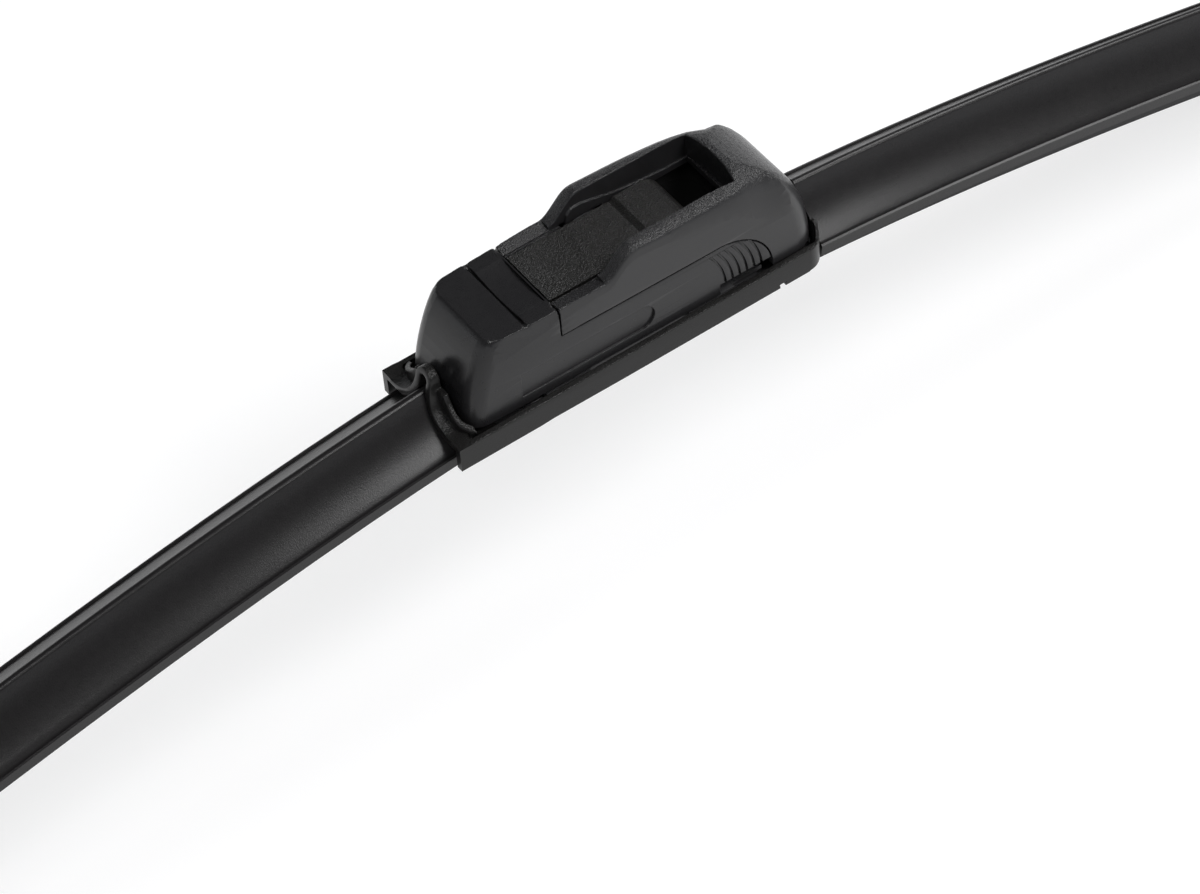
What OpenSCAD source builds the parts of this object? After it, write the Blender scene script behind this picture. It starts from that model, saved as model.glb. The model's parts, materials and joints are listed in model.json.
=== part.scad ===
// Flat windscreen wiper blade with a connector for a hook arm.
// All sizes are in millimetres. The sections and the connector are drawn with
// z = 0 at the strip's lower edge in the middle of the blade, and the finished
// pieces are then lowered so that the origin lies on the hook's seat.

/* [Blade] */
// Length of the wiping rubber
blade_length = 400; // [300:5:650]
// Free radius of the springs at the middle of the blade
mid_radius = 277; // [220:1:600]

/* [Spoiler] */
// Width of the spoiler over its side edges
spoiler_w = 14.2; // [13:0.1:14.6]
// Height of the spoiler's ridge
spoiler_h = 8.1; // [6.5:0.1:8.6]
// Height of the spoiler's side edge
spoiler_edge = 1.75; // [1.6:0.05:2.2]
// Radius of the spoiler's ridge
ridge_r = 0.7; // [0.4:0.05:1]
// Distance from the middle to the spoiler on the heel side
heel_start = 27.4; // [27:0.1:29]
// Distance from the middle to the spoiler on the toe side
toe_start = 29.1; // [28.9:0.1:30]

/* [Springs] */
// Width of each spring rail
rail_w = 5.1; // [4:0.1:5.3]
// Thickness of each spring rail
rail_t = 0.9; // [0.7:0.05:1]
// Height of the rails above the strip's lower edge
rail_z = 0.55; // [0.5:0.05:0.6]

/* [Rubber] */
// Width of the web between the two rails
web_w = 2; // [1.6:0.1:2.4]
// Width of the rubber's head above the rails
head_w = 4.8; // [4:0.1:5.2]
// Height of the rubber's head above the rails
head_h = 1.3; // [1:0.1:1.35]
// Width of the rubber's shoulder below the rails
shoulder_w = 6.4; // [5:0.1:7]
// Thickness of the neck that lets the lip tilt
neck_w = 0.9; // [0.7:0.1:1.2]
// Width of the lip's root
lip_root_w = 4.2; // [3.6:0.1:5]
// Thickness of the lip's wiping edge
lip_w = 0.6; // [0.5:0.1:1]
// Depth of the wiping edge below the strip's lower edge
lip_depth = 8.6; // [7.5:0.1:10]

/* [End caps] */
// Length of an end cap
cap_length = 17; // [12:1:24]
// Wall of an end cap
cap_wall = 1.1; // [0.9:0.1:1.4]
// Thickness of a cap's closed end
cap_end = 2; // [1.5:0.1:3]

/* [Base clip] */
// Distance from the middle to the clip's end on the heel side
clip_heel = 29.6; // [29.4:0.1:32]
// Distance from the middle to the clip's end on the toe side
clip_toe = 29; // [28.6:0.1:32]
// Width over the clip's side walls
clip_w = 17.6; // [17.5:0.1:18.5]
// Thickness of the side walls
clip_wall = 1; // [0.8:0.05:1]
// Height of the side walls above the strip's lower edge
wall_top = 3.05; // [2.95:0.05:3.4]
// Depth of the side walls below the strip's lower edge
wall_drop = 0.82; // [0.75:0.01:1]
// Height of the hump that passes over the ridge
hump_top = 10; // [9.7:0.1:10.6]
// Radius of the hump's crest
hump_r = 1.7; // [1.5:0.05:1.9]
// Wall of the hood at the heel end
hood_wall = 1; // [0.8:0.05:1.1]
// How far the collar stands above the hood
collar_rise = 1.2; // [0.8:0.1:1.6]
// Thickness of the collar
collar_t = 0.8; // [0.6:0.1:1]
// radius at which the collar's ends bend back round the nose
collar_turn = 2.2; // [1.5:0.1:2.6]
// Corner radius of the clip at the toe end
clip_corner = 3; // [1.5:0.1:4]

/* [Connector] */
// Height of the hook's seat above the strip's lower edge
seat_z = 15.6; // [15.4:0.1:16]
// Height of the wings above the strip's lower edge
wing_z = 19.65; // [18.6:0.05:20.4]
// Distance from the middle to the nose
nose_x = 26.6; // [26.2:0.1:26.8]
// Distance from the middle to the tail
tail_x = 28.3; // [27.8:0.1:28.4]
// Width of the housing at its foot
foot_w = 14.9; // [14.7:0.05:14.9]
// Width that the nose loses from its foot to its top
nose_taper = 1; // [0.2:0.1:1.6]
// Wall of the nose's front
nose_wall = 1.6; // [1.3:0.05:1.8]
// Width of the trough that takes the arm
trough_w = 10.6; // [10.4:0.1:10.8]
// Position of the joint between the nose and the cover
split_x = -12.2; // [-12.6:0.1:-12]
// Height of the joint between the side arms and the cover
split_z = 11.3; // [10.8:0.1:12]
// Gap at the joints between the shells
shell_gap = 0.2; // [0.15:0.05:0.3]
// Position of the rear edge of the opening
opening_x = 16.8; // [16:0.1:17.5]

/* [Side grips] */
// Number of grooves in each side grip
grip_grooves = 6; // [3:1:7]
// Distance between two grooves
grip_pitch = 1.15; // [1.1:0.05:1.3]
// Depth of a groove
groove_depth = 0.35; // [0.2:0.05:0.45]
// Distance from the middle to the end of the side arm
grip_end = 20.6; // [20:0.1:21]

/* [Hook adapter] */
// Width of the tongue that the hook lies on
tongue_w = 9.4; // [9:0.1:9.4]
// Height of the block inside the hook
block_h = 6.2; // [6:0.1:6.4]
// Height of the raised part at the hook's bend
hump_rise = 0.6; // [0.4:0.1:0.8]
// Distance from the middle to the nose of the block
bend_x = 12; // [11.5:0.1:12.2]
// Diameter of the pivot pin
pin_d = 4; // [3.6:0.1:4.2]
// Running clearance between the pin and the adapter, on the radius
pin_play = 0.05; // [0.02:0.01:0.08]

/* [Rail carrier] */
// Sheet thickness of the ears
ear_t = 0.9; // [0.8:0.05:0.95]
// Sheet thickness of the floor and the claws
sheet_t = 0.65; // [0.6:0.05:0.65]
// Length of the carrier
carrier_l = 40; // [36:1:40]
// Distance from the middle to the inner end of a claw
claw_in = 8; // [7:0.5:9]
// Length of a claw
claw_l = 7; // [5:0.5:7]

/* [Hidden] */
$fn = 96;

half_length = blade_length / 2;
piece = 8;                      // length of the straight pieces that make up the curve near the middle
fit = 0.05;                     // clearance between pieces that are clamped together
loose = 0.1;                    // clearance between pieces that slide together

rail_y = web_w / 2 + 0.1;       // inner edge of a rail
rail_top = rail_z + rail_t;
head_top = rail_top + fit + head_h;
claw_y = 5.4;                   // inner edge of the spoiler's claws
pin_z = seat_z - block_h / 2 - 0.1;
ear_y = tongue_w / 2 + 0.25;    // inner face of an ear
ear_r = pin_d / 2 + 1;
hollow_y = ear_y + ear_t + 0.4; // half width of the hollow round the ears
hollow_z = seat_z - 1.2;        // ceiling of that hollow
foot_z = wall_top - 0.15;       // lower edge of the housing, just inside the clip's walls
nose_top = seat_z + 0.45;
arch_y = 3.6;                   // half width and top of the notches in the housing's end walls
arch_z = 4.1;
ink = [0.09, 0.09, 0.095];
soft_ink = [0.06, 0.06, 0.065];
steel = [0.62, 0.63, 0.65];

function clamp(v, low, high) = max(low, min(high, v));
function smooth(t) = t * t * (3 - 2 * t);

// The springs bend most in the middle, and their curvature fades to nothing at the tips.
function bend(s) = let (u = 1 - s / half_length) half_length / mid_radius / 3 * (1 - pow(u, 3)) * 180 / PI;
function strip_point(s) = s <= 4 ? s * [cos(bend(s / 2)), -sin(bend(s / 2))]
    : strip_point(s - 4) + 4 * [cos(bend(s - 2)), -sin(bend(s - 2))];
function strip_drop(x) = mid_radius - sqrt(mid_radius * mid_radius - x * x);

// The section at s, which is negative on the heel side.
function section_at(outline, s) = let (a = bend(abs(s)) * sign(s), p = strip_point(abs(s)))
    [for (q = outline) [p[0] * sign(s) + q[1] * sin(a), q[0], p[1] + q[1] * cos(a)]];

// Sweeps an outline, a list of points as width across and height up, along the strip.
module sweep(outline, s1, s2) {
    n = len(outline);
    steps = ceil((s2 - s1) / piece);
    points = [for (i = [0 : steps]) each section_at(outline, s1 + (s2 - s1) * i / steps)];
    sides = [for (i = [0 : steps - 1], j = [0 : n - 1]) let (k = (j + 1) % n)
        [i * n + j, i * n + k, i * n + n + k, i * n + n + j]];
    polyhedron(points, concat(sides, [[for (j = [n - 1 : -1 : 0]) j]], [[for (j = [0 : n - 1]) steps * n + j]]), convexity = 6);
}

// Puts a piece at s on the toe side, with its x axis along the strip.
module at_strip(s) {
    translate([strip_point(s)[0], 0, strip_point(s)[1]]) rotate([0, bend(s), 0]) children();
}

// A section drawn as width across and height up, drawn out along x.
module along_x(x1, x2) {
    translate([x1, 0, 0]) rotate([90, 0, 90]) linear_extrude(x2 - x1) children();
}

// A side view drawn as x across and height up, drawn out across the blade.
module across(width) {
    rotate([90, 0, 0]) linear_extrude(width, center = true) children();
}

module both_sides() {
    for (m = [0, 1]) mirror([0, m, 0]) children();
}

module box2(x1, x2, y1, y2) {
    translate([x1, y1]) square([x2 - x1, y2 - y1]);
}

// Right half of a crest outline, from the ridge down a hollow curve to the point w / 2, edge.
function crest_half(w, edge, top, crest_r) = let (
    lean = 28,
    start = [crest_r * cos(lean), top - crest_r + crest_r * sin(lean)],
    run = [w / 2, edge] - start,
    normal = [cos(lean), sin(lean)],
    r = run * run / (2 * run * normal),
    sweep_a = 2 * (90 - lean - atan(-run[1] / run[0])))
    concat([for (a = [90, 65, 40]) [crest_r * cos(a), top - crest_r + crest_r * sin(a)]],
           [for (i = [0 : 9]) let (a = 180 + lean + sweep_a * i / 9) start + r * normal + r * [cos(a), sin(a)]]);

module crest(w, edge, top, crest_r, bottom = 0) {
    polygon(both_halves(concat(crest_half(w, edge, top, crest_r), [[w / 2, bottom]])));
}

// Closes the right half of an outline with its mirror image.
function both_halves(half) = concat(half, [for (i = [len(half) - 1 : -1 : 0]) if (half[i][0] > 0.001) [-half[i][0], half[i][1]]]);

// The spoiler is hollow along its middle, its claws reach round the rails' outer edges,
// and a groove runs along each side edge.
function spoiler_outline() = let (slot_y = rail_y + rail_w + loose, half_w = spoiler_w / 2)
    both_halves(concat(crest_half(spoiler_w - 1.6, spoiler_edge + 0.1, spoiler_h, ridge_r),
        [[half_w - 0.55, spoiler_edge - 0.35], [half_w - 0.3, spoiler_edge], [half_w, spoiler_edge - 0.1],
         [half_w, 0], [claw_y, 0], [claw_y, rail_z - fit], [slot_y, rail_z - fit], [slot_y, rail_top + fit],
         [head_w / 2 + loose, rail_top + fit], [head_w / 2 + loose, head_top + loose]]));

function rubber_outline() = let (shoulder_z = rail_z - fit, neck_top = shoulder_z - 1.4, neck_end = neck_top - 1)
    both_halves([[head_w / 2, head_top], [head_w / 2, rail_top + fit], [web_w / 2, rail_top + fit],
        [web_w / 2, shoulder_z], [shoulder_w / 2, shoulder_z], [shoulder_w / 2, shoulder_z - 0.6], [neck_w / 2, neck_top],
        [neck_w / 2, neck_end], [lip_root_w / 2 - 0.5, neck_end], [lip_root_w / 2, neck_end - 0.5],
        [lip_w, 2 - lip_depth], [lip_w / 2, 1.6 - lip_depth], [lip_w / 2, -lip_depth]]);

module spring_rail() {
    sweep([[rail_y, rail_top], [rail_y + rail_w, rail_top], [rail_y + rail_w, rail_z], [rail_y, rail_z]],
          -half_length, half_length);
}

module spring_rail_left() {
    color(steel) spring_rail();
}

module spring_rail_right() {
    color(steel) mirror([0, 1, 0]) spring_rail();
}

module wiping_rubber() {
    color(soft_ink) sweep(rubber_outline(), -half_length, half_length);
}

module spoiler_toe() {
    color(ink) sweep(spoiler_outline(), toe_start, half_length - 1);
}

module spoiler_heel() {
    color(ink) sweep(spoiler_outline(), 1 - half_length, -heel_start);
}

// A cap slides over the tip and hooks under the spoiler's claws. Its end slopes back like a bow.
module end_cap() {
    inside = cap_length - cap_end;
    outer_w = spoiler_w + 2 * cap_wall;
    under = 1;
    at_strip(half_length) difference() {
        intersection() {
            along_x(-inside, cap_end)
                crest(outer_w, spoiler_edge + cap_wall, spoiler_h + cap_wall, ridge_r + cap_wall, -under);
            across(outer_w + 2) difference() {
                box2(-inside, cap_end, -under, spoiler_h + cap_wall + 1);
                translate([cap_end, spoiler_h + cap_wall]) rotate(-62) box2(-14, 14, 0, 14);
            }
            linear_extrude(40, center = true) hull() {
                box2(-inside, -inside + 1, -outer_w / 2, outer_w / 2);
                for (m = [-1, 1]) translate([cap_end - 3, m * (outer_w / 2 - 3)]) circle(3);
            }
        }
        along_x(-inside - 1, fit) {
            crest(spoiler_w + 2 * fit, spoiler_edge + fit, spoiler_h + fit, ridge_r + fit, -fit);
            box2(-shoulder_w / 2 - 1, shoulder_w / 2 + 1, -under - 1, 1);
        }
    }
}

module end_cap_toe() {
    color(ink) end_cap();
}

module end_cap_heel() {
    color(ink) mirror([1, 0, 0]) end_cap();
}

// Section through the hood: flat over the rails, with the hump in the middle.
module hood_outline(grow) {
    edge = wall_top + grow;
    r = 5;
    crest_r = hump_r + grow;
    difference() {
        union() {
            box2(-clip_w / 2, clip_w / 2, 0, edge);
            box2(-crest_r - r, crest_r + r, edge - 0.01, edge + r);
            box2(-crest_r, crest_r, edge, hump_top + grow - crest_r);
            translate([0, hump_top + grow - crest_r]) circle(crest_r);
        }
        for (m = [-1, 1]) translate([m * (crest_r + r), edge + r]) circle(r);
    }
}

module hood_section(grow) {
    difference() {
        hood_outline(grow);
        intersection() {
            hood_outline(-hood_wall);
            box2(-clip_w / 2 + clip_wall, clip_w / 2 - clip_wall, -1, hump_top);
        }
    }
}

// plan of the collar, whose ends bend round the nose and run out in the side walls
module collar_plan(inset) {
    r = collar_turn + collar_t;
    hull() for (x = [0, 20], side = [-1, 1])
        translate([r - nose_x - 0.5 - collar_t + x, side * (clip_w / 2 - clip_wall + 0.1 - r)]) circle(r - inset);
}

module base_clip() {
    inner = clip_w / 2 - clip_wall;
    floor_top = wall_top - 1.65;
    lip_t = 0.5;
    collar_x = nose_x + 0.5;
    color(ink) difference() {
        union() {
            // side walls
            both_sides() translate([-clip_heel, inner, -wall_drop])
                cube([clip_heel + clip_toe, clip_wall, wall_top + wall_drop]);
            // hood over the heel spoiler, with its collar round the nose
            along_x(-clip_heel, -collar_x) hood_section(0);
            intersection() {
                along_x(-collar_x - collar_t, -collar_x + 0.45 * collar_turn) intersection() {
                    hood_section(collar_rise);
                    polygon(both_halves([[0, hump_top - 2.6], [4.9, hump_top - 2.6], [4.9, wall_top + collar_rise + 1.05],
                        [5.5, wall_top + collar_rise + 0.55], [6.2, wall_top + collar_rise + 0.1],
                        [7, wall_top + 0.75], [inner + 0.1, wall_top + 0.3], [inner + 0.1, -1]]));
                }
                linear_extrude(20) difference() {
                    collar_plan(0);
                    collar_plan(collar_t);
                }
            }
            // floors over the rails at both ends, arched over the rubber's head
            for (m = [0, 1]) mirror([m, 0, 0]) along_x(22.6, 27.1 - 0.2 * m) {
                both_sides2() box2(head_w / 2 + 0.3, inner + 0.1, floor_top - 0.65, floor_top);
                both_sides2() box2(head_w / 2 + 0.3, head_w / 2 + 0.9, floor_top - 0.65, floor_top + 1.3);
                box2(-head_w / 2 - 0.9, head_w / 2 + 0.9, floor_top + 0.75, floor_top + 1.3);
            }
            // the walls bend round the toe end and rise to a lip there
            both_sides() intersection() {
                translate([clip_toe - clip_corner, clip_w / 2 - clip_corner, -wall_drop]) linear_extrude(8) {
                    difference() {
                        intersection() {
                            circle(clip_corner);
                            square(clip_corner);
                        }
                        circle(clip_corner - lip_t);
                    }
                    box2(clip_corner - lip_t, clip_corner, -1, 0.01);
                }
                along_x(20, 40) polygon([[5.45, 0.2], [6.4, 0.2], [6.4, -2], [10, -2], [10, wall_top], [7.7, wall_top],
                    [6.6, wall_top + 1.4], [6.1, wall_top + 1.7], [5.45, wall_top + 1.4]]);
            }
            // lips under the rails
            for (x = [-20.6, 16.2]) both_sides() translate([x, claw_y + 0.2, -wall_drop])
                cube([4.4, inner - claw_y, 0.45]);
        }
        // rounded corners at the toe end
        both_sides() translate([clip_toe - clip_corner, clip_w / 2 - clip_corner, -5]) difference() {
            cube([clip_corner + 1, clip_corner + 1, 20]);
            translate([0, 0, -1]) cylinder(r = clip_corner, h = 22);
        }
        // the hump's end leans back
        translate([-clip_heel, 0, wall_top + 1.5]) rotate([0, 13, 0]) translate([-10, -5, 0]) cube([10, 10, 12]);
        // room for the heel spoiler, which passes under the hood
        along_x(-clip_heel - 1, -heel_start + 0.3) translate([0, -strip_drop(heel_start)])
            crest(spoiler_w - 1.36, spoiler_edge + 0.22, spoiler_h + 0.12, ridge_r + 0.12);
        // room for the toe spoiler
        translate([toe_start - 0.3, 0, 0]) along_x(0, 5)
            translate([0, -strip_drop(clip_toe)]) crest(spoiler_w + 0.6, spoiler_edge + 0.6, spoiler_h + 1, ridge_r + 0.5);
        // notches beside the crimp in the lower edge
        both_sides() translate([21, inner - 0.1, -wall_drop - 0.1]) cube([0.9, clip_wall + 0.2, 0.65]);
    }
}

module both_sides2() {
    for (m = [0, 1]) mirror([m, 0]) children();
}

// A pressed steel channel: claws round the rails, a hat over the rubber and two ears for the pin.
module rail_carrier() {
    rest_z = rail_top + fit;
    edge_y = rail_y + rail_w + loose;
    hat_y = head_w / 2 + 0.2;
    claw_top = rail_z - strip_drop(claw_in + claw_l) - fit;
    color(steel) {
        along_x(-carrier_l / 2, carrier_l / 2) {
            both_sides2() box2(hat_y, rail_y + rail_w - 0.1, rest_z, rest_z + sheet_t);
            both_sides2() box2(hat_y, hat_y + sheet_t, rest_z, head_top + 0.15 + sheet_t);
            box2(-hat_y - sheet_t, hat_y + sheet_t, head_top + 0.15, head_top + 0.15 + sheet_t);
        }
        for (m = [0, 1]) mirror([m, 0, 0]) along_x(claw_in, claw_in + claw_l) both_sides2() {
            box2(hat_y, edge_y + sheet_t, rest_z, rest_z + sheet_t);
            box2(edge_y, edge_y + sheet_t, claw_top - sheet_t + 0.01, rest_z + sheet_t);
            box2(claw_y - 1, edge_y + sheet_t, claw_top - sheet_t, claw_top);
        }
        both_sides() difference() {
            translate([0, ear_y + ear_t / 2, 0]) across(ear_t) {
                translate([0, pin_z]) circle(ear_r);
                polygon([[-ear_r, pin_z], [ear_r, pin_z], [ear_r + 2.5, rest_z + 0.1], [-ear_r - 2.5, rest_z + 0.1]]);
            }
            pin_hole(0.01);
        }
    }
}

module pin_hole(play) {
    translate([0, 0, pin_z]) rotate([90, 0, 0]) cylinder(d = pin_d + 2 * play, h = 40, center = true);
}

module pivot_pin() {
    length = 2 * (ear_y + ear_t) + 0.1;
    color(steel) translate([0, 0, pin_z]) rotate([90, 0, 0]) cylinder(d = pin_d, h = length, center = true);
}

// The block inside the hook. The arm's hook lies on its tongue and bends round its rounded end.
module hook_adapter() {
    front = split_x + 0.3;
    bottom = seat_z - block_h;
    top = seat_z + hump_rise;
    round_r = (top - bottom) / 2;
    step_x = 4;
    color(ink) difference() {
        union() {
            across(tongue_w) {
                box2(front, bend_x - round_r, bottom, seat_z);
                polygon([[step_x, seat_z - 1], [step_x, seat_z], [step_x + 0.8, top], [bend_x - round_r, top],
                         [bend_x - round_r, seat_z - 1]]);
                translate([bend_x - round_r, bottom + round_r]) circle(round_r);
            }
            // tab that plugs into the nose
            translate([front - 4.5, -3.5, bottom + 0.8]) cube([4.6, 7, 3]);
        }
        pin_hole(pin_play);
        // coring of the underside
        for (x = [-9.6, -5.4]) translate([x, -tongue_w / 2 + 1.2, bottom - 1]) cube([3, tongue_w - 2.4, 4.2]);
    }
}

// Outer form of the housing. One chain of slices gives the plan and the rounded ends,
// the other gives the height, the shoulders and the crown, and the form is what they share.
levels = 10;
mid_z = 9;                      // height at which the shoulders begin
crown_z = 20.04;
nose_lean = 4.3;                // how far the nose leans back over its height
low_x = -5.2;                   // where the rims begin to rise to the wings
function power_arc(t, p) = pow(1 - pow(clamp(t, 0, 1), p), 1 / p);
function level(z) = clamp((z - foot_z) / (nose_top - foot_z), 0, 1);
function side_y(x, z) = foot_w / 2 + 0.0086 * (x + 5) - nose_taper / 2 * pow(level(z), 2) * pow(clamp((-3 - x) / 19, 0, 2), 1.3);
function nose_at(z) = -(nose_x - nose_lean + nose_lean * power_arc(level(z), 1.44));
function tail_at(z) = tail_x - 13 + 13 * power_arc((z - foot_z) / (crown_z - foot_z), 2.09);
function crown_at(x) = nose_top + (wing_z - nose_top) * smooth(clamp((x - low_x) / 5, 0, 1));
function power_at(x) = x < 0 ? 24 - 10 * clamp((x + 6) / 6, 0, 1) : 2.55 + 11.4 * clamp(1 - x / 20.5, 0, 1);

// Outline of the housing in plan at the height z.
function plan_ring(z) = let (
    front_r = 2.3,
    rear_r = 3.4,
    front = nose_at(z),
    rear = tail_at(z),
    half = concat(
        [for (a = [0 : 18 : 90]) [front + front_r * (1 - cos(a)), side_y(front + front_r, z) - front_r * (1 - sin(a))]],
        [for (x = [-14.3, -9.5, -6.5, -3]) [x, side_y(x, z)]],
        [for (a = [90 : -18 : 0]) [rear - rear_r * (1 - cos(a)), side_y(rear, z) - rear_r * (1 - sin(a))]]))
    [for (m = [-1, 1], q = half) [q[0], m * q[1], z]];

// Outline of the top across the housing at x. It leaves the sides to the plan.
function height_ring(x) = let (
    p = power_at(x),
    half = foot_w / 2 + 0.27,
    wide = side_y(x, nose_top),
    top = [for (f = [0.2, 0.4, 0.57, 0.7, 0.81, 0.89, 0.945, 0.983]) let (y = f * wide)
        [y, round(100 * (mid_z + (crown_at(x) - mid_z) * pow(1 - pow(y / half, p), 1 / p))) / 100]],
    end = top[len(top) - 1])
    [for (m = [-1, 1], q = concat([[0, crown_at(x)]], top, [[wide + 0.6, end[1] - 7], [wide + 0.6, 0]])) [x, m * q[0], q[1]]];

module skin(ring_a, ring_b) {
    points = concat(ring_a, ring_b);
    hull() polyhedron(points, [[for (i = [0 : len(points) - 1]) i]]);
}

module housing_form() {
    heights = concat([for (i = [0 : levels]) foot_z + (nose_top + 0.02 - foot_z) * sin(90 * i / levels)],
                     [for (i = [1 : 7]) nose_top + 0.02 + (crown_z - 0.03 - nose_top) * sin(90 * i / 7)]);
    stations = concat([-nose_x - 1, -6.2], [for (i = [0 : 8]) low_x + 5 * i / 8], [for (i = [1 : 13]) low_x + 5 + 2.25 * i]);
    intersection() {
        for (i = [0 : len(heights) - 2]) skin(plan_ring(heights[i]), plan_ring(heights[i + 1]));
        for (i = [0 : len(stations) - 2]) skin(height_ring(stations[i]), height_ring(stations[i + 1]));
    }
}

// Side view of the arm that carries a grip, with its round end.
module arm_outline(grow) {
    tip_r = 8.2;
    difference() {
        union() {
            box2(-nose_x - 2, grip_end - tip_r, foot_z - 1, split_z + grow);
            translate([grip_end - tip_r, split_z - tip_r]) circle(tip_r + grow);
        }
        box2(-60, 60, -20, foot_z - 1);
    }
}

module nose_frame() {
    panel_groove = split_x - 4.7;
    color(ink) difference() {
        intersection() {
            housing_form();
            union() {
                translate([-60, -20, 0]) cube([60 + split_x, 40, 40]);
                across(40) arm_outline(0);
            }
        }
        grip_cuts();
        // hollow inside, open below, whose front wall leans back with the nose
        translate([-nose_x + nose_wall, -hollow_y, -1]) cube([60, 2 * hollow_y, 5.5]);
        difference() {
            across(2 * hollow_y - 1.2) polygon(concat([[split_x, hollow_z], [split_x, 0]],
                [for (z = [0, 4.4, 6.4, 8.4, 10.4, 12.4, hollow_z]) [nose_at(z) + nose_wall, z]]));
            translate([split_x - 6, -5, seat_z - block_h]) cube([7, 10, 10]);
        }
        // room for the arched floor when the blade rocks
        translate([-nose_x - 1, -arch_y, 0]) cube([5, 2 * arch_y, arch_z]);
        translate([split_x - 0.01, -hollow_y, 0]) cube([60, 2 * hollow_y, 40]);
        // pocket for the adapter's tab
        translate([split_x - 4.6, -3.6, seat_z - block_h + 0.7]) cube([4.7, 7.2, 3.2]);
        // groove between the two top panels and the dish of the rear one
        translate([panel_groove - 0.2, -9, nose_top - 0.8]) cube([0.4, 18, 2]);
        translate([panel_groove + 0.15, 0, nose_top + 29.6]) rotate([0, 90, 0])
            cylinder(r = 30, h = split_x - panel_groove - 0.6);
        // recessed side panel
        both_sides() translate([0, side_y(-5, 6.5) + 0.7, 0]) across(2) {
            box2(-18.6, 0, 4.4, 8.4);
            translate([0, 6.4]) circle(2);
        }
        // free space under the grip
        both_sides() translate([12.3, 5, -1]) cube([10, 5, 5.7]);
    }
}

// Curved grooves in the side arm, a little flatter than its round end.
module grip_cuts() {
    groove_r = 13;
    both_sides() translate([0, side_y(15, 8) - groove_depth + 1, 0]) across(2)
        for (i = [1 : grip_grooves]) translate([grip_end - 0.4 - groove_r - i * grip_pitch, 3.2]) intersection() {
            difference() {
                circle(groove_r + 0.15);
                circle(groove_r - 0.15);
            }
            box2(0, 15, -2, split_z - 3.9);
        }
}

module rear_cover() {
    ledge_y = trough_w / 2 - 0.35;
    // ledges along the trough that guide the arm's edges
    color(ink) both_sides() translate([0, ledge_y + 0.25, 0]) across(0.5) polygon([[-2.5, seat_z - 0.12],
        [-2.2, seat_z + 1.2], [-1.6, seat_z + 1.85], [-0.1, seat_z + 2], [3, seat_z + 1.27], [5.5, seat_z + 0.64],
        [9.3, seat_z + 0.16], [13.3, seat_z - 0.18], [opening_x + 0.1, seat_z - 0.4], [opening_x + 0.1, hollow_z + 0.1],
        [ear_r + 0.4, hollow_z + 0.1], [ear_r + 0.4, seat_z - 0.12]]);
    color(ink) difference() {
        intersection() {
            housing_form();
            difference() {
                translate([split_x + shell_gap, -20, 0]) cube([60, 40, 40]);
                across(40) arm_outline(shell_gap);
                translate([0, -20, 0]) cube([grip_end, 40, foot_z + 1.75]);
            }
        }
        // trough for the arm, narrower beside the tongue, with the round rear edge of the opening
        translate([-30, -ledge_y, hollow_z - 1]) cube([30 + opening_x, 2 * ledge_y, 3]);
        translate([0, 0, seat_z - 0.2]) linear_extrude(20) {
            box2(-30, opening_x, -trough_w / 2, trough_w / 2);
            intersection() {
                translate([opening_x + 0.6 - 23.7, 0]) circle(23.7);
                box2(opening_x - 1, opening_x + 1, -trough_w / 2, trough_w / 2);
            }
        }
        // the low rims slope inwards
        along_x(split_x - 1, low_x + 0.3) polygon([[-foot_w / 2, nose_top + 0.03], [-5.2, nose_top - 0.5], [5.2, nose_top - 0.5],
            [foot_w / 2, nose_top + 0.03], [foot_w / 2, nose_top + 5], [-foot_w / 2, nose_top + 5]]);
        // hollow inside, open below, with pockets for the ears
        translate([-30, -hollow_y, -1]) cube([30 + 21, 2 * hollow_y, hollow_z + 1]);
        translate([-ear_r - 0.3, -hollow_y, 0]) cube([2 * ear_r + 0.6, 2 * hollow_y, pin_z + ear_r + 0.1]);
        translate([20, -hollow_y + 0.4, -1]) cube([tail_x - 20 - 4, 2 * hollow_y - 0.8, 13]);
        translate([tail_x - 5, -hollow_y + 1.5, -1]) cube([3.6, 2 * hollow_y - 3, 9]);
        // room for the arched floor when the blade rocks
        translate([tail_x - 3, -arch_y, 0]) cube([5, 2 * arch_y, arch_z]);
    }
}

module in_frame() {
    translate([0, 0, -seat_z]) children();
}

in_frame() hook_adapter();
in_frame() nose_frame();
in_frame() rear_cover();
in_frame() base_clip();
in_frame() rail_carrier();
in_frame() pivot_pin();
in_frame() spring_rail_left();
in_frame() spring_rail_right();
in_frame() wiping_rubber();
in_frame() spoiler_heel();
in_frame() spoiler_toe();
in_frame() end_cap_heel();
in_frame() end_cap_toe();
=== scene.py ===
import json
import math

import bmesh
import bpy
from mathutils import Matrix, Vector, kdtree

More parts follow.
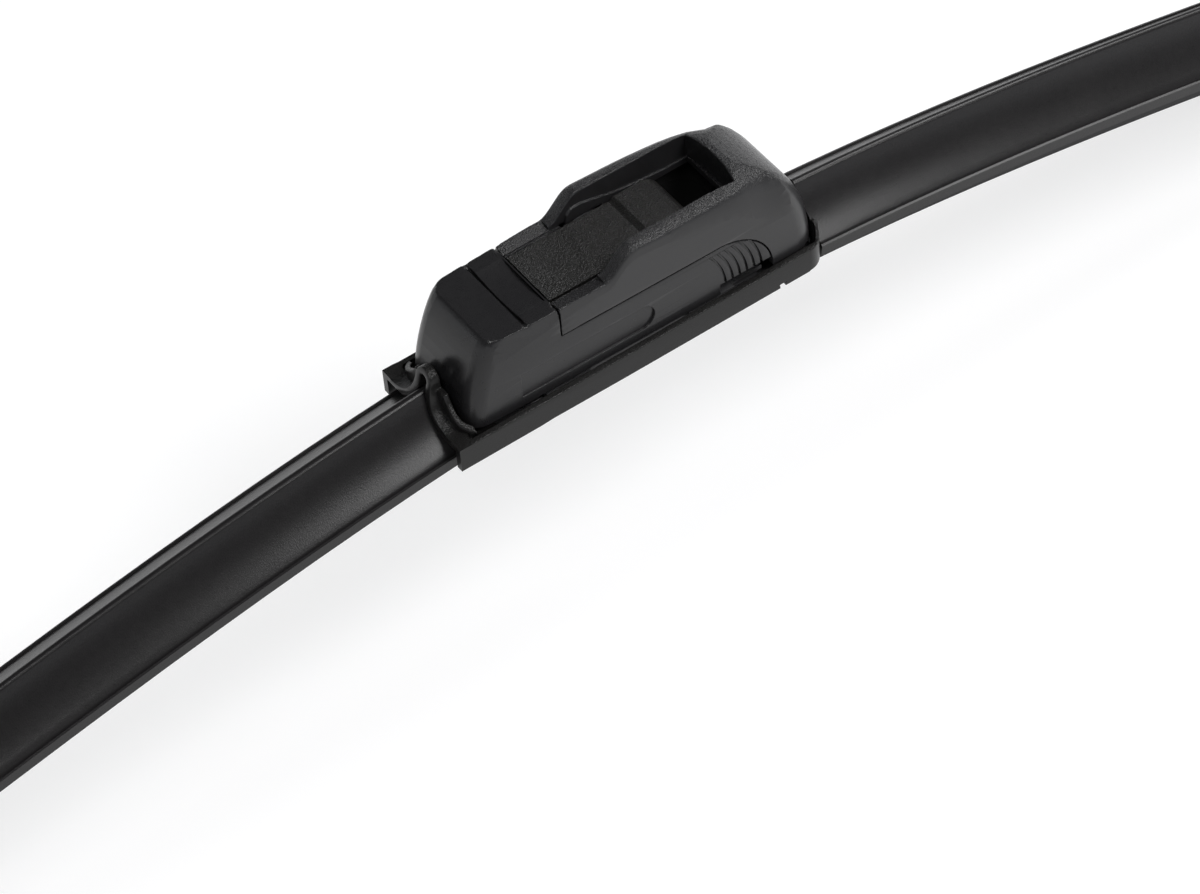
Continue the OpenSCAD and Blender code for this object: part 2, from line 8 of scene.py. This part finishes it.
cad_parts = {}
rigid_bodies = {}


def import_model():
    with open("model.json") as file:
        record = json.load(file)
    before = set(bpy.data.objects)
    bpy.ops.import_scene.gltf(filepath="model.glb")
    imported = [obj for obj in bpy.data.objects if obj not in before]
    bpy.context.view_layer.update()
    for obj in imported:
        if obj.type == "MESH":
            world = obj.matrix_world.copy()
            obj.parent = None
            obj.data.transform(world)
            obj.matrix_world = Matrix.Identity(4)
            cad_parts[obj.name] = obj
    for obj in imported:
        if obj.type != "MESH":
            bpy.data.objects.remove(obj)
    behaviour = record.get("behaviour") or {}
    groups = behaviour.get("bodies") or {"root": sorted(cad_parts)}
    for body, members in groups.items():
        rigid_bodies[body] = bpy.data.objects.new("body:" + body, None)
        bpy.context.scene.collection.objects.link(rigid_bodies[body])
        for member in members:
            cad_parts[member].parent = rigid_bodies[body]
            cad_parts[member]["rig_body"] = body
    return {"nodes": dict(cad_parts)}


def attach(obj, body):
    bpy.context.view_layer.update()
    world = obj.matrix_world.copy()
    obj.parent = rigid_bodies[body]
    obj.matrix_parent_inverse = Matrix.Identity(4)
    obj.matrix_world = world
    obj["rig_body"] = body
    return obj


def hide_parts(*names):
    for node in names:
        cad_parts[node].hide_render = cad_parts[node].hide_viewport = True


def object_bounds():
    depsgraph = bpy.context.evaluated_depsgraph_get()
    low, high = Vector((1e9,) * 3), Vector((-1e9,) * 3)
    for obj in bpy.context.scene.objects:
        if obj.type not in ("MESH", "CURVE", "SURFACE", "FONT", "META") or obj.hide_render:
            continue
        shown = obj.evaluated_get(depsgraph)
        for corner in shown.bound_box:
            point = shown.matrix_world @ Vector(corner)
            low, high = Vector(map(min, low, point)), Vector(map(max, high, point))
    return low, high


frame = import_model()
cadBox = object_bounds()
mm = 0.001
scene = bpy.context.scene

# the camera: a long lens that looks down along the blade
photoView = {
    "position": (-205.824, -322.190, 399.220),  # millimetres from the hook's seat
    "heading": 57.841,  # degrees, as the next two
    "down": 49.001,
    "roll": -4.793,
    "lens": 130.29,  # millimetres, as the sensor
    "sensor": 36.0,
    "farthest": 20.0,  # metres
}


def addCamera(view):
    data = bpy.data.cameras.new("photoCamera")
    data.lens = view["lens"]
    data.sensor_width = view["sensor"]
    data.sensor_fit = "HORIZONTAL"
    data.clip_end = view["farthest"]
    camera = bpy.data.objects.new("photoCamera", data)
    scene.collection.objects.link(camera)
    turn = (Matrix.Rotation(math.radians(view["heading"] - 90), 4, "Z")
            @ Matrix.Rotation(math.radians(90 - view["down"]), 4, "X")
            @ Matrix.Rotation(math.radians(view["roll"]), 4, "Z"))
    camera.matrix_world = Matrix.Translation([v * mm for v in view["position"]]) @ turn
    scene.camera = camera


addCamera(photoView)
print("camera placed")


# a plain value is set on the socket, and the output of another node is linked to it
def feed(tree, socket, value):
    if isinstance(value, (int, float)):
        socket.default_value = value
    elif isinstance(value, tuple):
        socket.default_value = (*value, 1)
    else:
        tree.links.new(value, socket)


def mathNode(tree, operation, first, second=None, clamp=False):
    node = tree.nodes.new("ShaderNodeMath")
    node.operation = operation
    node.use_clamp = clamp
    feed(tree, node.inputs[0], first)
    if second is not None:
        feed(tree, node.inputs[1], second)
    return node.outputs[0]


def noiseNode(tree, vector, look):
    node = tree.nodes.new("ShaderNodeTexNoise")
    node.inputs["Scale"].default_value = look["scale"]
    node.inputs["Detail"].default_value = look["detail"]
    node.inputs["Roughness"].default_value = look["roughness"]
    tree.links.new(vector, node.inputs["Vector"])
    return node.outputs["Fac"]


def scaleVector(tree, vector, factor):
    node = tree.nodes.new("ShaderNodeVectorMath")
    node.operation = "SCALE"
    tree.links.new(vector, node.inputs[0])
    tree.links.new(factor, node.inputs["Scale"])
    return node.outputs[0]


def splitAxes(tree, vector):
    node = tree.nodes.new("ShaderNodeSeparateXYZ")
    tree.links.new(vector, node.inputs[0])
    return node.outputs


def objectPlace(tree):
    return tree.nodes.new("ShaderNodeTexCoord").outputs["Object"]


# node groups that several finishes share
def newGroup(name, inputs, outputs):
    group = bpy.data.node_groups.new(name, "ShaderNodeTree")
    for label, value in inputs.items():
        socket = group.interface.new_socket(name=label, in_out="INPUT", socket_type="NodeSocketFloat")
        socket.default_value = value
    for label in outputs:
        group.interface.new_socket(name=label, in_out="OUTPUT", socket_type="NodeSocketFloat")
    return group, group.nodes.new("NodeGroupInput"), group.nodes.new("NodeGroupOutput")


# fine spark-eroded grain of moulded plastic: a height and a spread of gloss
mouldGrainLook = {
    "coarse": {"scale": 2400, "detail": 2.0, "roughness": 0.55},
    "coarseHeight": 0.8,
    "fine": {"scale": 9000, "detail": 1.0, "roughness": 0.5},
    "fineHeight": 0.15,
    "pebbleScale": 4200,
    "pebbleSmoothness": 0.35,
    "pebbleHeight": 0.9,
    "crownPower": 3.0,  # a higher power keeps the gloss to the tops of the pebbles
}


def buildMouldGrain(look):
    group, inNode, outNode = newGroup("mouldGrain", {"Size": 1.0, "Sparkle": 0.5}, ["Height", "Gloss"])
    place = scaleVector(group, objectPlace(group), inNode.outputs["Size"])
    coarse = mathNode(group, "MULTIPLY", noiseNode(group, place, look["coarse"]), look["coarseHeight"])
    fine = mathNode(group, "MULTIPLY", noiseNode(group, place, look["fine"]), look["fineHeight"])
    cells = group.nodes.new("ShaderNodeTexVoronoi")
    cells.feature = "SMOOTH_F1"
    cells.inputs["Scale"].default_value = look["pebbleScale"]
    cells.inputs["Smoothness"].default_value = look["pebbleSmoothness"]
    group.links.new(place, cells.inputs["Vector"])
    pebbles = mathNode(group, "SUBTRACT", 1.0, cells.outputs["Distance"], clamp=True)
    height = mathNode(group, "ADD", coarse, fine)
    height = mathNode(group, "ADD", height, mathNode(group, "MULTIPLY", pebbles, look["pebbleHeight"]))
    group.links.new(height, outNode.inputs["Height"])
    crowns = mathNode(group, "POWER", pebbles, look["crownPower"])
    gloss = mathNode(group, "MULTIPLY", crowns, inNode.outputs["Sparkle"])
    group.links.new(gloss, outNode.inputs["Gloss"])
    return group


# the moulded grain is deep on the faces that look up and polished away on the sides
upwardSlope = {"Low": 0.35, "High": 0.85}


def buildUpwards(slope):
    group, inNode, outNode = newGroup("upwards", slope, ["Mask"])
    surface = group.nodes.new("ShaderNodeNewGeometry")
    rise = group.nodes.new("ShaderNodeMapRange")
    rise.interpolation_type = "SMOOTHSTEP"
    group.links.new(inNode.outputs["Low"], rise.inputs["From Min"])
    group.links.new(inNode.outputs["High"], rise.inputs["From Max"])
    group.links.new(splitAxes(group, surface.outputs["Normal"])["Z"], rise.inputs["Value"])
    group.links.new(rise.outputs["Result"], outNode.inputs["Mask"])
    return group


# the shell's inside round the hook is dull, and its colour is darkened there as painted shade: a box,
# in millimetres
hookRoom = {"Middle": 6.0, "Half Length": 15.0, "Half Width": 6.8, "Ceiling": -1.3}


def buildInsideDullAndShade(room):
    sizes = {label: size * mm for label, size in room.items()}
    group, inNode, outNode = newGroup("insideDullAndShade", sizes, ["Mask"])
    axes = splitAxes(group, objectPlace(group))
    fromMiddle = mathNode(group, "SUBTRACT", axes["X"], inNode.outputs["Middle"])
    fromMiddle = mathNode(group, "ABSOLUTE", fromMiddle)
    along = mathNode(group, "LESS_THAN", fromMiddle, inNode.outputs["Half Length"])
    sideways = mathNode(group, "ABSOLUTE", axes["Y"])
    across = mathNode(group, "LESS_THAN", sideways, inNode.outputs["Half Width"])
    below = mathNode(group, "LESS_THAN", axes["Z"], inNode.outputs["Ceiling"])
    both = mathNode(group, "MULTIPLY", along, across)
    group.links.new(mathNode(group, "MULTIPLY", both, below), outNode.inputs["Mask"])
    return group


# slow changes of shade, as dust and handling leave on black plastic and rubber
handlingLook = {
    "clouds": {"scale": 55, "detail": 5.0, "roughness": 0.6},
    "specks": {"scale": 900, "detail": 3.0, "roughness": 0.65},
}


def buildHandling(look):
    group, inNode, outNode = newGroup("handling", {"Amount": 0.3}, ["Mask"])
    place = objectPlace(group)
    clouds = noiseNode(group, place, look["clouds"])
    specks = noiseNode(group, place, look["specks"])
    both = mathNode(group, "MULTIPLY", clouds, specks)
    group.links.new(mathNode(group, "MULTIPLY", both, inNode.outputs["Amount"]), outNode.inputs["Mask"])
    return group


# lines that run along the blade, from the extrusion die or from rolling
dieLinesLook = {
    "squeeze": (6, 2600, 2600),  # long in X, fine across
    "streaks": {"scale": 1.0, "detail": 3.0, "roughness": 0.6},
}


def buildDieLines(look):
    group, inNode, outNode = newGroup("dieLines", {"Scale": 1.0}, ["Height"])
    squeeze = group.nodes.new("ShaderNodeMapping")
    squeeze.inputs["Scale"].default_value = look["squeeze"]
    group.links.new(objectPlace(group), squeeze.inputs["Vector"])
    place = scaleVector(group, squeeze.outputs["Vector"], inNode.outputs["Scale"])
    group.links.new(noiseNode(group, place, look["streaks"]), outNode.inputs["Height"])
    return group


mouldGrain = buildMouldGrain(mouldGrainLook)
upwards = buildUpwards(upwardSlope)
insideDullAndShade = buildInsideDullAndShade(hookRoom)
handling = buildHandling(handlingLook)
dieLines = buildDieLines(dieLinesLook)
print("shared effects built")


def placeGroup(tree, group, **values):
    node = tree.nodes.new("ShaderNodeGroup")
    node.node_tree = group
    for name, value in values.items():
        node.inputs[name].default_value = value
    return node


def addBump(tree, height, strength, distance):
    bump = tree.nodes.new("ShaderNodeBump")
    bump.inputs["Strength"].default_value = strength
    bump.inputs["Distance"].default_value = distance
    tree.links.new(height, bump.inputs["Height"])
    return bump.outputs["Normal"]


# a Mix node has sockets for each kind of data: 6, 7 and output 2 are the ones for colours
def mixColors(tree, mask, low, high):
    node = tree.nodes.new("ShaderNodeMix")
    node.data_type = "RGBA"
    feed(tree, node.inputs[0], mask)
    feed(tree, node.inputs[6], low)
    feed(tree, node.inputs[7], high)
    return node.outputs[2]


def newFinish(name):
    material = bpy.data.materials.new(name)
    material.use_nodes = True
    tree = material.node_tree
    return material, tree, tree.nodes["Principled BSDF"]


# what all the plastics and rubbers share
plasticLook = {
    "dustRoughness": 0.35,
    "insideRoughness": 0.9,
    # painted shade: the colour that the inside round the hook is darkened to
    "insidePaintedShade": (0.002, 0.002, 0.002),
    "grainDepth": 0.14,  # millimetres
}

# moulded plastics and rubbers differ in colour, gloss, grain and dust
plasticFinishes = {
    "noseShell": {
        "color": (0.0115, 0.0112, 0.012), "dustColor": (0.035, 0.035, 0.036), "dust": 0.3,
        "roughness": 0.26, "specular": 0.31,
        "grainSize": 1.6, "sparkle": 0.04, "bump": 0.14, "sideGrain": 0.15, "inside": True,
    },
    "coverShell": {
        "color": (0.0115, 0.0112, 0.012), "dustColor": (0.035, 0.035, 0.036), "dust": 0.25,
        "roughness": 0.28, "specular": 0.38,
        "grainSize": 1.6, "sparkle": 0.2, "bump": 0.65, "sideGrain": 0.02, "inside": True,
    },
    "grainedShell": {
        "color": (0.005, 0.0047, 0.0044), "dustColor": (0.03, 0.029, 0.027), "dust": 0.25,
        "roughness": 0.34, "specular": 0.36,
        "grainSize": 1.5, "sparkle": 0.25, "bump": 0.85,
    },
    "clipPlastic": {
        "color": (0.0085, 0.0082, 0.008), "dustColor": (0.03, 0.03, 0.03), "dust": 0.25,
        "roughness": 0.3, "specular": 0.2,
        "grainSize": 1.3, "sparkle": 0.1, "bump": 0.5, "sideGrain": 0.1,
    },
    "spoilerRubber": {
        "color": (0.0085, 0.008, 0.0084), "dustColor": (0.03, 0.028, 0.028), "dust": 0.3,
        "roughness": 0.28, "specular": 0.3,
        "grainSize": 1.2, "sparkle": 0.04, "bump": 0.06, "lines": 0.5,
    },
    "wipingRubber": {
        "color": (0.012, 0.012, 0.0125), "dustColor": (0.05, 0.05, 0.05), "dust": 0.35,
        "roughness": 0.6, "specular": 0.4,
        "grainSize": 1.2, "sparkle": 0.02, "bump": 0.08, "lines": 0.5,
    },
    "capPlastic": {
        "color": (0.014, 0.014, 0.0145), "dustColor": (0.05, 0.05, 0.05), "dust": 0.25,
        "roughness": 0.4, "specular": 0.4,
        "grainSize": 1.1, "sparkle": 0.1, "bump": 0.3, "sideGrain": 0.2,
    },
}


def blackPlastic(name, spec):
    material, tree, shader = newFinish(name)
    grain = placeGroup(tree, mouldGrain, Size=spec["grainSize"], Sparkle=spec["sparkle"])
    height, gloss = grain.outputs["Height"], grain.outputs["Gloss"]
    if spec.get("sideGrain") is not None:
        upper = placeGroup(tree, upwards, **upwardSlope).outputs["Mask"]
        depth = mathNode(tree, "MULTIPLY", upper, 1 - spec["sideGrain"])
        depth = mathNode(tree, "ADD", depth, spec["sideGrain"])
        height = mathNode(tree, "MULTIPLY", height, depth)
        gloss = mathNode(tree, "MULTIPLY", gloss, depth)
    dust = placeGroup(tree, handling, Amount=spec["dust"]).outputs["Mask"]
    color = mixColors(tree, dust, spec["color"], spec["dustColor"])
    rough = mathNode(tree, "SUBTRACT", spec["roughness"], gloss)
    dullness = mathNode(tree, "MULTIPLY", dust, plasticLook["dustRoughness"])
    rough = mathNode(tree, "ADD", rough, dullness, clamp=True)
    # the inside round the hook is rougher, and its colour is darkened there as painted shade
    if spec.get("inside"):
        inside = placeGroup(tree, insideDullAndShade).outputs["Mask"]
        insideRough = mathNode(tree, "MULTIPLY", inside, plasticLook["insideRoughness"])
        rough = mathNode(tree, "MAXIMUM", rough, insideRough)
        color = mixColors(tree, inside, color, plasticLook["insidePaintedShade"])
    if spec.get("lines"):
        streaks = placeGroup(tree, dieLines, Scale=1.0).outputs["Height"]
        height = mathNode(tree, "ADD", height, mathNode(tree, "MULTIPLY", streaks, spec["lines"]))
    normal = addBump(tree, height, spec["bump"], plasticLook["grainDepth"] * mm)
    tree.links.new(color, shader.inputs["Base Color"])
    tree.links.new(rough, shader.inputs["Roughness"])
    tree.links.new(normal, shader.inputs["Normal"])
    shader.inputs["Specular IOR Level"].default_value = spec["specular"]
    return material


# what all the metals share: fine streaks from rolling and drawing
metalLook = {
    "lineScale": 0.7,
    "lineRoughness": 0.25,
    "lineBump": 0.3,
    "lineDepth": 0.01,  # millimetres
    "dust": 0.5,
}

metalFinishes = {
    "coatedSpring": {
        "color": (0.03, 0.03, 0.032), "dustColor": (0.08, 0.08, 0.08),
        "roughness": 0.3, "metallic": 0.3,
    },
    "zincSheet": {
        "color": (0.12, 0.12, 0.125), "dustColor": (0.1, 0.1, 0.1),
        "roughness": 0.45, "metallic": 0.9,
    },
    "drawnPin": {
        "color": (0.3, 0.3, 0.31), "dustColor": (0.2, 0.2, 0.2),
        "roughness": 0.25, "metallic": 1.0,
    },
}


def streakedMetal(name, spec):
    material, tree, shader = newFinish(name)
    streaks = placeGroup(tree, dieLines, Scale=metalLook["lineScale"]).outputs["Height"]
    dust = placeGroup(tree, handling, Amount=metalLook["dust"]).outputs["Mask"]
    color = mixColors(tree, dust, spec["color"], spec["dustColor"])
    rough = mathNode(tree, "MULTIPLY", streaks, metalLook["lineRoughness"])
    rough = mathNode(tree, "ADD", rough, spec["roughness"])
    normal = addBump(tree, streaks, metalLook["lineBump"], metalLook["lineDepth"] * mm)
    tree.links.new(color, shader.inputs["Base Color"])
    tree.links.new(rough, shader.inputs["Roughness"])
    tree.links.new(normal, shader.inputs["Normal"])
    shader.inputs["Metallic"].default_value = spec["metallic"]
    return material


finishes = {name: blackPlastic(name, spec) for name, spec in plasticFinishes.items()}
for name, spec in metalFinishes.items():
    finishes[name] = streakedMetal(name, spec)

nodeFinish = {
    "hook_adapter": "grainedShell",
    "nose_frame": "noseShell",
    "rear_cover": "coverShell",
    "base_clip": "clipPlastic",
    "rail_carrier": "zincSheet",
    "pivot_pin": "drawnPin",
    "spring_rail_left": "coatedSpring",
    "spring_rail_right": "coatedSpring",
    "wiping_rubber": "wipingRubber",
    "spoiler_heel": "spoilerRubber",
    "spoiler_toe": "spoilerRubber",
    "end_cap_heel": "capPlastic",
    "end_cap_toe": "capPlastic",
}
for name, finish in nodeFinish.items():
    node = frame["nodes"][name]
    node.data.materials.clear()
    node.data.materials.append(finishes[finish])
print("finishes set on", len(nodeFinish), "nodes")


# the middle of an edge, and the angle between its two faces; an open edge counts as folded flat
def edgeMiddle(edge):
    return (edge.verts[0].co + edge.verts[1].co) / 2


def edgeTurn(edge):
    return edge.calc_face_angle(0.0) if len(edge.link_faces) == 2 else math.pi


# which edges of the shells are rolled: places in millimetres, and how far the two faces look up
shellTop = {
    "wingFoot": 1.0,  # above it every edge of the wings that looks up is rolled
    "wingUpper": 0.3,
    "wingSteeper": 0.8,
    "lowest": -0.5,
    "side": 6.2,
    "front": -25.0,
    "upper": 0.6,
    "steeper": 0.6,
    "crossWall": 0.98,  # the walls of the gaps across the shells keep their edges
}


def isTopEdge(edge):
    middle = edgeMiddle(edge)
    upper, steeper = sorted((f.normal for f in edge.link_faces), key=lambda n: -n.z)
    if middle.z > shellTop["wingFoot"] * mm:
        return upper.z > shellTop["wingUpper"] and steeper.z < shellTop["wingSteeper"]
    atFront = middle.x < shellTop["front"] * mm
    outer = atFront or abs(middle.y) > shellTop["side"] * mm
    crossGap = not atFront and abs(steeper.x) > shellTop["crossWall"]
    looksUp = upper.z > shellTop["upper"] and steeper.z < shellTop["steeper"]
    return middle.z > shellTop["lowest"] * mm and outer and looksUp and not crossGap


# the rim of the collar that stands round the nose, in millimetres
collar = {
    "front": -28.0,
    "rear": -22.0,
    "lowest": -12.2,
    "halfWidth": 7.7,
    "endsFrom": 4.0,  # from here outwards the rim stands further off, all the way after one step
    "endsStep": 1.0,
}


def isCollarEdge(edge):
    middle = edgeMiddle(edge)
    inLength = collar["front"] * mm < middle.x < collar["rear"] * mm
    return inLength and middle.z > collar["lowest"] * mm and abs(middle.y) < collar["halfWidth"] * mm


# the collar's ends stand a little further from the nose, which comes near them when the blade rocks
def spreadCollar(rim, reach):
    for v in rim:
        share = min(max((abs(v.co.y) - collar["endsFrom"] * mm) / (collar["endsStep"] * mm), 0), 1)
        v.co += Vector((v.co.x - collar["rear"] * mm, v.co.y, 0)).normalized() * reach * share


# round the chosen edges the mesh is cut fine and then relaxed
rolling = {
    "flattest": 30,  # degrees between the faces of an edge that is rolled
    "sharpest": 172,
    "steps": 8,  # places along such an edge from which the distance is taken
    "finest": 0.17,  # millimetres
    "cutWithin": 1.1,  # shares of the reach, and of a long edge's own length
    "cutByLength": 0.2,
    "cutRounds": 12,
    "relaxWithin": 0.75,
    "relaxBy": 0.5,
}


def rollEdges(bm, chosen, reach, passes):
    flattest, sharpest = math.radians(rolling["flattest"]), math.radians(rolling["sharpest"])
    crest = [e for e in bm.edges if e.is_convex and flattest < edgeTurn(e) < sharpest and chosen(e)]
    steps = rolling["steps"]
    spots = [e.verts[0].co.lerp(e.verts[1].co, t / steps) for e in crest for t in range(steps + 1)]
    tree = kdtree.KDTree(len(spots))
    for index, spot in enumerate(spots):
        tree.insert(spot, index)
    tree.balance()

    def away(place):
        return tree.find(place)[2]

    def isCoarse(edge):
        length = edge.calc_length()
        if length <= rolling["finest"] * mm:
            return False
        nearest = min(away(edge.verts[0].co), away(edge.verts[1].co), away(edgeMiddle(edge)))
        return nearest < reach * rolling["cutWithin"] + rolling["cutByLength"] * length

    for _ in range(rolling["cutRounds"]):
        coarse = [e for e in bm.edges if isCoarse(e)]
        if not coarse:
            break
        bmesh.ops.subdivide_edges(bm, edges=coarse, cuts=1)
        bmesh.ops.triangulate(bm, faces=[f for f in bm.faces if len(f.verts) > 3])
    near = [v for v in bm.verts if away(v.co) < reach * rolling["relaxWithin"]]
    for _ in range(passes):
        bmesh.ops.smooth_vert(bm, verts=near, factor=rolling["relaxBy"],
                              use_axis_x=True, use_axis_y=True, use_axis_z=True)
    return near


# the rim of the side arms moves out along its joint with the cover, so that no light comes through
def closeArmJoint(bm, arms):
    bm.normal_update()
    rim = [v for v in bm.verts if abs(abs(v.co.y) - arms["wall"] * mm) < arms["slack"] * mm
           and arms["front"] * mm < v.co.x < arms["rear"] * mm]
    reach = arms["reach"] * mm
    for v in rim:
        outward = Vector((v.normal.x, 0, v.normal.z))
        if outward.length > arms["leastSlope"]:
            v.co += outward.normalized() * reach


# the groove between the two top panels runs out before the side edges
def fadeGroove(bm, groove):
    for y in (-groove["reach"], groove["reach"]):
        bmesh.ops.bisect_plane(bm, geom=bm.verts[:] + bm.edges[:] + bm.faces[:], dist=0.0001 * mm,
                               plane_co=(0, y * mm, 0), plane_no=(0, 1, 0))
    bmesh.ops.triangulate(bm, faces=[f for f in bm.faces if len(f.verts) > 3])
    for v in bm.verts:
        inWidth = abs(v.co.x - groove["middle"] * mm) < groove["halfWidth"] * mm
        atBottom = abs(v.co.z - groove["bottom"] * mm) < groove["slack"] * mm
        beyond = abs(v.co.y) > (groove["reach"] + groove["margin"]) * mm
        if inWidth and atBottom and beyond:
            v.co.z = groove["top"] * mm
    bm.normal_update()


# copies of the pieces that show: the moulded ones get round edges, and all get smooth shading
# width of a bevel and places in millimetres; corner and soft are degrees between two faces
smoothPieces = {
    "nose_frame": {
        "width": 0.12, "corner": 38, "soft": 33,
        "roll": {"chosen": isTopEdge, "reach": 1.2, "passes": 30},
        "arms": {"wall": 6.25, "slack": 0.03, "front": -11.8, "rear": 21.0,
                 "leastSlope": 0.2, "reach": 0.26},
        "groove": {"middle": -16.9, "halfWidth": 0.22, "bottom": -0.35, "slack": 0.05, "top": 0.44,
                   "reach": 4.7, "margin": 0.1},  # it stays whole as far as the reach from the middle
    },
    "rear_cover": {
        "width": 0.12, "corner": 38, "soft": 33,
        "roll": {"chosen": isTopEdge, "reach": 0.8, "passes": 14},
    },
    "base_clip": {
        "width": 0.18, "corner": 38, "soft": 33,
        "roll": {"chosen": isCollarEdge, "reach": 0.6, "passes": 8},
        "spread": 0.1,
    },
    "hook_adapter": {"width": 0.2, "corner": 38, "soft": 33},
    "spoiler_heel": {"width": 0.0, "soft": 30},
    "spoiler_toe": {"width": 0.0, "soft": 30},
    "wiping_rubber": {"width": 0.0, "soft": 20},
    "end_cap_heel": {"width": 0.3, "corner": 38, "soft": 33},
    "end_cap_toe": {"width": 0.3, "corner": 38, "soft": 33},
}
finishing = {"mergeWithin": 0.004, "bevelSegments": 2, "normalWeight": 60}  # the first in millimetres


# the other convex edges get a small bevel where they run on as plain chains, outside the rolled zone
def bevelCorners(bm, spec, rolled):
    corner = math.radians(spec["corner"])
    corners = {e for e in bm.edges if e.is_convex and edgeTurn(e) > corner
               and not rolled.intersection(e.verts)}
    crowded = {v for v in bm.verts if sum(e in corners for e in v.link_edges) > 2}
    plain = [e for e in bm.edges if e in corners and not crowded.intersection(e.verts)]
    bmesh.ops.bevel(bm, geom=plain, offset=spec["width"] * mm, offset_type="OFFSET", affect="EDGES",
                    segments=finishing["bevelSegments"], profile=0.5, material=-1, clamp_overlap=False)


def shadeSmooth(bm, soft, rolled):
    for face in bm.faces:
        face.smooth = True
    for edge in bm.edges:
        edge.smooth = edgeTurn(edge) < soft or rolled.issuperset(edge.verts)


def addPiece(bm, name):
    mesh = bpy.data.meshes.new(name + "_body")
    bm.to_mesh(mesh)
    bm.free()
    mesh.materials.append(finishes[nodeFinish[name]])
    piece = bpy.data.objects.new(name + "_body", mesh)
    scene.collection.objects.link(piece)
    even = piece.modifiers.new("evenNormals", "WEIGHTED_NORMAL")
    even.keep_sharp = True
    even.weight = finishing["normalWeight"]
    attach(piece, frame["nodes"][name]["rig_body"])
    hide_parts(name)


def smoothCopy(name, spec):
    bm = bmesh.new()
    bm.from_mesh(frame["nodes"][name].data)
    bmesh.ops.remove_doubles(bm, verts=bm.verts, dist=finishing["mergeWithin"] * mm)
    if spec.get("arms"):
        closeArmJoint(bm, spec["arms"])
    if spec.get("groove"):
        fadeGroove(bm, spec["groove"])
    rim = []
    if spec.get("roll"):
        roll = spec["roll"]
        rim = rollEdges(bm, roll["chosen"], roll["reach"] * mm, roll["passes"])
    if spec.get("spread"):
        spreadCollar(rim, spec["spread"] * mm)
    if spec["width"] > 0:
        bevelCorners(bm, spec, set(rim))
    shadeSmooth(bm, math.radians(spec["soft"]), {v for v in rim if v.is_valid})
    addPiece(bm, name)


for name, spec in smoothPieces.items():
    smoothCopy(name, spec)
print("smooth copies made of", len(smoothPieces), "pieces")

# the floor is pale to the lamps and glows towards the camera and in reflections; sizes in metres
floorLook = {
    "size": 6.0,
    "cells": 4,
    "drop": 0.0005,
    "color": (0.42, 0.42, 0.424),
    "glow": 0.6,
}


def floorMaterial(look):
    material = bpy.data.materials.new("studioFloor")
    material.use_nodes = True
    tree = material.node_tree
    tree.nodes.clear()
    out = tree.nodes.new("ShaderNodeOutputMaterial")
    matte = tree.nodes.new("ShaderNodeBsdfDiffuse")
    feed(tree, matte.inputs["Color"], look["color"])
    glow = tree.nodes.new("ShaderNodeEmission")
    path = tree.nodes.new("ShaderNodeLightPath").outputs
    mirrored = mathNode(tree, "MAXIMUM", path["Is Glossy Ray"], path["Is Transmission Ray"])
    seen = mathNode(tree, "MAXIMUM", path["Is Camera Ray"], mirrored)
    feed(tree, glow.inputs["Strength"], mathNode(tree, "MULTIPLY", seen, look["glow"]))
    add = tree.nodes.new("ShaderNodeAddShader")
    tree.links.new(matte.outputs[0], add.inputs[0])
    tree.links.new(glow.outputs[0], add.inputs[1])
    tree.links.new(add.outputs[0], out.inputs["Surface"])
    return material


def addFloor(look):
    lowest = cadBox[0][2]
    bm = bmesh.new()
    cells = look["cells"]
    bmesh.ops.create_grid(bm, x_segments=cells, y_segments=cells, size=look["size"] / 2)
    bmesh.ops.translate(bm, verts=bm.verts, vec=(0, 0, lowest - look["drop"]))
    mesh = bpy.data.meshes.new("studioFloor")
    bm.to_mesh(mesh)
    bm.free()
    floor = bpy.data.objects.new("studioFloor", mesh)
    scene.collection.objects.link(floor)
    mesh.materials.append(floorMaterial(look))


# round lamps that look at the hook's seat: metres from it, and watts
lamps = {
    "frontLight": {"place": (-0.56, -0.45, 1.2), "size": 0.4, "power": 5.0},
    "keyLight": {"place": (0.45, -0.65, 1.03), "size": 0.6, "power": 13.0},
    "toeLight": {"place": (1.0, 0.05, 1.0), "size": 0.6, "power": 8.0},
}


def addLamp(name, spec):
    data = bpy.data.lights.new(name, "AREA")
    data.shape = "DISK"
    data.size = spec["size"]
    data.energy = spec["power"]
    lamp = bpy.data.objects.new(name, data)
    scene.collection.objects.link(lamp)
    turn = Vector(spec["place"]).to_track_quat("Z", "Y").to_matrix().to_4x4()
    lamp.matrix_world = Matrix.Translation(spec["place"]) @ turn


# the room is pale at the horizon, where the white sweep rises, and dim overhead
roomLight = {
    "color": (0.95, 0.97, 1.0),
    "horizon": 1.5,
    "overhead": 0.07,
    "sweepTop": 0.3,
}


def setRoom(look):
    world = bpy.data.worlds.new("studioWorld")
    scene.world = world
    world.use_nodes = True
    tree = world.node_tree
    back = tree.nodes["Background"]
    feed(tree, back.inputs["Color"], look["color"])
    direction = tree.nodes.new("ShaderNodeTexCoord").outputs["Generated"]
    rise = tree.nodes.new("ShaderNodeMapRange")
    rise.interpolation_type = "SMOOTHSTEP"
    rise.inputs["From Min"].default_value = 0.0
    rise.inputs["From Max"].default_value = look["sweepTop"]
    rise.inputs["To Min"].default_value = look["horizon"]
    rise.inputs["To Max"].default_value = look["overhead"]
    feed(tree, rise.inputs["Value"], splitAxes(tree, direction)["Z"])
    feed(tree, back.inputs["Strength"], rise.outputs["Result"])


addFloor(floorLook)
for name, spec in lamps.items():
    addLamp(name, spec)
setRoom(roomLight)
scene.view_settings.view_transform = "Standard"
print("studio ready")
